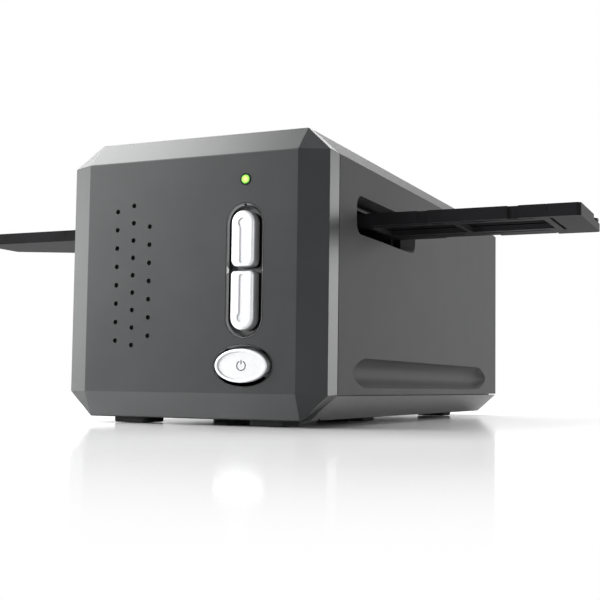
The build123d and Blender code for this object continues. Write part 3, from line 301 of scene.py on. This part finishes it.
def finished_copy(node, radius_mm):
    """A clean copy of a CAD node with soft edges, which stands for it."""
    source = frame["nodes"][node]
    mesh = bpy.data.meshes.new(node + "_finished")
    bm = bmesh.new()
    bm.from_mesh(source.data)
    bmesh.ops.remove_doubles(bm, verts=bm.verts, dist=0.002 * MM)
    bmesh.ops.dissolve_limit(bm, angle_limit=math.radians(0.4), verts=bm.verts, edges=bm.edges,
                             use_dissolve_boundaries=False)
    for face in bm.faces:
        face.smooth = True
    for edge in bm.edges:
        edge.smooth = len(edge.link_faces) != 2 or edge.calc_face_angle(0) < math.radians(SHARP_DEG)
    bm.to_mesh(mesh)
    bm.free()
    piece = bpy.data.objects.new(node + "_finished", mesh)
    bpy.context.scene.collection.objects.link(piece)
    finish_edges(piece, radius_mm)
    dress(piece, look_of(node))
    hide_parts(node)
    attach(piece, source["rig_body"])
    return piece


def add_piece(name, bm, material, body):
    """Makes an object from a bmesh and lets it ride."""
    mesh = bpy.data.meshes.new(name)
    bm.to_mesh(mesh)
    bm.free()
    piece = bpy.data.objects.new(name, mesh)
    bpy.context.scene.collection.objects.link(piece)
    dress(piece, material)
    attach(piece, body)
    return piece


for name, obj in frame["nodes"].items():
    dress(obj, look_of(name))

# The bezel has its radii in the CAD already, so its edges get none here.
EDGE_RADII_MM = {
    "front_bezel": 0, "upper_housing": 0.35, "base_tray": 0.35, "rear_panel": 0.3,
    "scan_button_pocket": 0.15, "power_button_pocket": 0.15,
    "scan_button_upper": 0.12, "scan_button_lower": 0.12, "power_button": 0.12,
    "slot_frame_right": 0.2, "slot_frame_left": 0.2, "film_guide": 0.15, "film_guide_cover": 0.15,
    "holder_base": 0.2, "holder_lid": 0.2, "holder_latch": 0.3,
    "lamp_housing": 0.3, "carriage": 0.2, "chassis": 0.2, "usb_port": 0.2, "power_jack": 0.2,
    "status_light": 0.2,
}
for name, radius in EDGE_RADII_MM.items():
    finished_copy(name, radius)
FOOT_COUNT = 6
for number in range(1, FOOT_COUNT + 1):
    finished_copy(f"rubber_foot_{number}", 0.3)


# ---------- camera ----------
# Where the photo was taken from, fitted to points on the object's outline, facets and pockets.
EYE = Vector((0.21913, -0.51422, 0.01646))
YAW, PITCH, ROLL = (math.radians(a) for a in (24.08, 3.75, 0.76))
FOCAL_PX = 1079.21
PHOTO_PX = 600
SENSOR_MM = 36
HORIZON_SHIFT = 0.02416


def make_camera():
    """The photo's camera: turned by yaw, then pitch, then roll, with its frame shifted upwards."""
    forward = Vector((-math.sin(YAW) * math.cos(PITCH), math.cos(YAW) * math.cos(PITCH),
                      math.sin(PITCH)))
    level = Vector((math.cos(YAW), math.sin(YAW), 0))
    upright = level.cross(forward)
    right = level * math.cos(ROLL) + upright * math.sin(ROLL)
    up = upright * math.cos(ROLL) - level * math.sin(ROLL)
    data = bpy.data.cameras.new("photo_camera")
    data.sensor_width = SENSOR_MM
    data.lens = SENSOR_MM * FOCAL_PX / PHOTO_PX
    data.shift_y = HORIZON_SHIFT
    data.clip_start = 0.01
    camera = bpy.data.objects.new("photo_camera", data)
    turn = Matrix((right, up, -forward)).transposed().to_4x4()
    camera.matrix_world = Matrix.Translation(EYE) @ turn
    bpy.context.scene.collection.objects.link(camera)
    bpy.context.scene.camera = camera


# ---------- stage and light ----------
# How much the white surroundings light dull surfaces, where the eye sees plain white.
ROOM_LIGHT = 0.4
# The share of the table's shine, and the distances over which the table is lost in white.
FLOOR_POLISH = 0.6
FLOOR_NEAR, FLOOR_FAR = 0.26, 0.46
# The table lies a hair under the feet, so that the two faces don't flicker.
FLOOR_GAP = 0.2 * MM


def background_seen(tree):
    """One for the eye, for gloss and for glass, and nought for the light on dull surfaces."""
    path = add(tree, "ShaderNodeLightPath")
    either = add(tree, "ShaderNodeMath",
                 {0: path.outputs["Is Camera Ray"], 1: path.outputs["Is Glossy Ray"]},
                 operation="MAXIMUM")
    return add(tree, "ShaderNodeMath",
               {0: either.outputs[0], 1: path.outputs["Is Transmission Ray"]},
               operation="MAXIMUM").outputs[0]


def make_world():
    """White surroundings for the eye, and a dimmer light from them on dull surfaces."""
    world = bpy.data.worlds.new("studio")
    bpy.context.scene.world = world
    world.use_nodes = True
    tree = world.node_tree
    tree.nodes.clear()
    dim = add(tree, "ShaderNodeBackground", {"Color": WHITE, "Strength": ROOM_LIGHT})
    white = add(tree, "ShaderNodeBackground", {"Color": WHITE, "Strength": 1.0})
    mix = add(tree, "ShaderNodeMixShader",
              {0: background_seen(tree), 1: dim.outputs[0], 2: white.outputs[0]})
    add(tree, "ShaderNodeOutputWorld", {"Surface": mix.outputs[0]})


def make_floor():
    """A polished white table top that mirrors the object and is lost in the white further out."""
    bm = bmesh.new()
    bmesh.ops.create_grid(bm, x_segments=1, y_segments=1, size=6)
    bmesh.ops.translate(bm, verts=bm.verts, vec=(0, 0, -FLOOR_GAP))
    mesh = bpy.data.meshes.new("floor")
    bm.to_mesh(mesh)
    bm.free()
    floor = bpy.data.objects.new("floor", mesh)
    bpy.context.scene.collection.objects.link(floor)
    material, tree, shader, place = start_material("polished_white_table")
    tree.links.new(mottle(tree, place, 200, "#f7f7f7", "#ffffff"), shader.inputs["Base Color"])
    shader.inputs["Roughness"].default_value = 0.6
    shader.inputs["Specular IOR Level"].default_value = 0.0
    polish = add(tree, "ShaderNodeBsdfGlossy", {"Color": WHITE, "Roughness": 0.09})
    table = add(tree, "ShaderNodeMixShader",
                {0: FLOOR_POLISH, 1: shader.outputs[0], 2: polish.outputs[0]})
    away = add(tree, "ShaderNodeVectorMath", {0: place}, operation="LENGTH")
    spread = add(tree, "ShaderNodeMapRange",
                 {"Value": away.outputs["Value"], "From Min": FLOOR_NEAR, "From Max": FLOOR_FAR},
                 interpolation_type="SMOOTHSTEP")
    strength = add(tree, "ShaderNodeMapRange",
                   {"Value": background_seen(tree), "To Min": ROOM_LIGHT, "To Max": 1.0})
    white = add(tree, "ShaderNodeEmission",
                {"Color": WHITE, "Strength": strength.outputs["Result"]})
    whole = add(tree, "ShaderNodeMixShader",
                {0: spread.outputs["Result"], 1: table.outputs[0], 2: white.outputs[0]})
    output = next(n for n in tree.nodes if n.type == "OUTPUT_MATERIAL")
    tree.links.new(whole.outputs[0], output.inputs["Surface"])
    dress(floor, material)


def make_softbox(name, place, aim, width, height, power):
    """A square or oblong lamp at a place, turned to its aim, that no view shows."""
    data = bpy.data.lights.new(name, "AREA")
    data.shape = "RECTANGLE"
    data.size = width
    data.size_y = height
    data.energy = power
    lamp = bpy.data.objects.new(name, data)
    place, aim = Vector(place), Vector(aim)
    turn = (aim - place).to_track_quat("-Z", "Y").to_matrix().to_4x4()
    lamp.matrix_world = Matrix.Translation(place) @ turn
    lamp.visible_camera = False
    bpy.context.scene.collection.objects.link(lamp)


make_camera()
make_world()
make_floor()
# Each softbox: its name, place, aim, width and height in metres, and power in watts.
SOFTBOXES = (
    # the sheen that fades from left to right over the front
    ("key_left", (-1.05, -0.85, 0.62), (-0.02, -0.13, 0.08), 1.2, 1.2, 31),
    # the pale upper facet
    ("overhead_left", (-0.95, 0.05, 1.1), (-0.05, -0.1, 0.1), 0.8, 0.8, 18),
    # the top and the table behind
    ("overhead_back", (0.0, 0.8, 1.0), (0, 0, 0), 0.9, 0.6, 12),
    # the left cheek and the holder's left end
    ("left_edge", (-1.3, -0.12, 0.2), (-0.06, -0.1, 0.06), 0.4, 0.4, 2.2),
    # the side, seen at a slant
    ("right_strip", (0.8, 1.05, 0.18), (0.06, -0.126, 0.06), 0.2, 0.45, 3.4),
    # the narrow bright facet at the front's right edge
    ("rim_right", (1.2, -0.78, 0.2), (0.03, -0.136, 0.06), 0.3, 0.3, 1.6),
)
for softbox in SOFTBOXES:
    make_softbox(*softbox)
bpy.context.scene.view_settings.view_transform = "Standard"


# ---------- small pieces ----------
def power_symbol():
    """An open ring with a bar, half sunk in the dish of the power button."""
    bm = bmesh.new()
    radius, line, proud = 1.7 * MM, 0.35 * MM, 0.12 * MM
    thick, bar_rise, gap = 2 * proud, 0.8 * radius, math.radians(50)
    centre, axis = (0, 0, 0), (0, 1, 0)
    section = ((radius, 0), (radius + line, 0), (radius + line, thick), (radius, thick))
    face = bm.faces.new([bm.verts.new((x, y, 0)) for x, y in section])
    first = Matrix.Rotation(-(math.pi / 2 + gap / 2), 3, "Y")
    bmesh.ops.rotate(bm, verts=bm.verts, matrix=first, cent=centre)
    bmesh.ops.spin(bm, geom=[face], cent=centre, axis=axis, angle=-(2 * math.pi - gap), steps=24)
    bar = bmesh.ops.create_cube(bm, size=1)["verts"]
    bmesh.ops.scale(bm, verts=bar, vec=(line, thick, radius))
    bmesh.ops.translate(bm, verts=bar, vec=(0, proud, bar_rise))
    dish_y = BUTTON_FACE_Y + POWER_DISH_DEPTH - proud
    bmesh.ops.translate(bm, verts=bm.verts, vec=(POWER_CENTRE.x, dish_y, POWER_CENTRE.z))
    bmesh.ops.recalc_face_normals(bm, faces=bm.faces)
    add_piece("power_symbol", bm, MATERIALS["component_black"], "power_button")


def light_ring():
    """A thin black ring round the status light, let into the bezel's front."""
    bm = bmesh.new()
    clearance, width, proud, sunk = 0.05 * MM, 0.5 * MM, 0.25 * MM, 0.3 * MM
    inner = LIGHT_RADIUS + clearance
    outer = inner + width
    section = ((inner, sunk), (inner, -proud), (outer, -proud), (outer, sunk))
    face = bm.faces.new([bm.verts.new((x, y, 0)) for x, y in section])
    bmesh.ops.spin(bm, geom=[face], cent=(0, 0, 0), axis=(0, 1, 0), angle=2 * math.pi,
                   steps=40, use_merge=True)
    bmesh.ops.remove_doubles(bm, verts=bm.verts, dist=0.001 * MM)
    bmesh.ops.translate(bm, verts=bm.verts, vec=(LIGHT_CENTRE.x, FRONT_Y, LIGHT_CENTRE.z))
    bmesh.ops.recalc_face_normals(bm, faces=bm.faces)
    add_piece("light_ring", bm, MATERIALS["black_plastic"], "casing")


power_symbol()
light_ring()
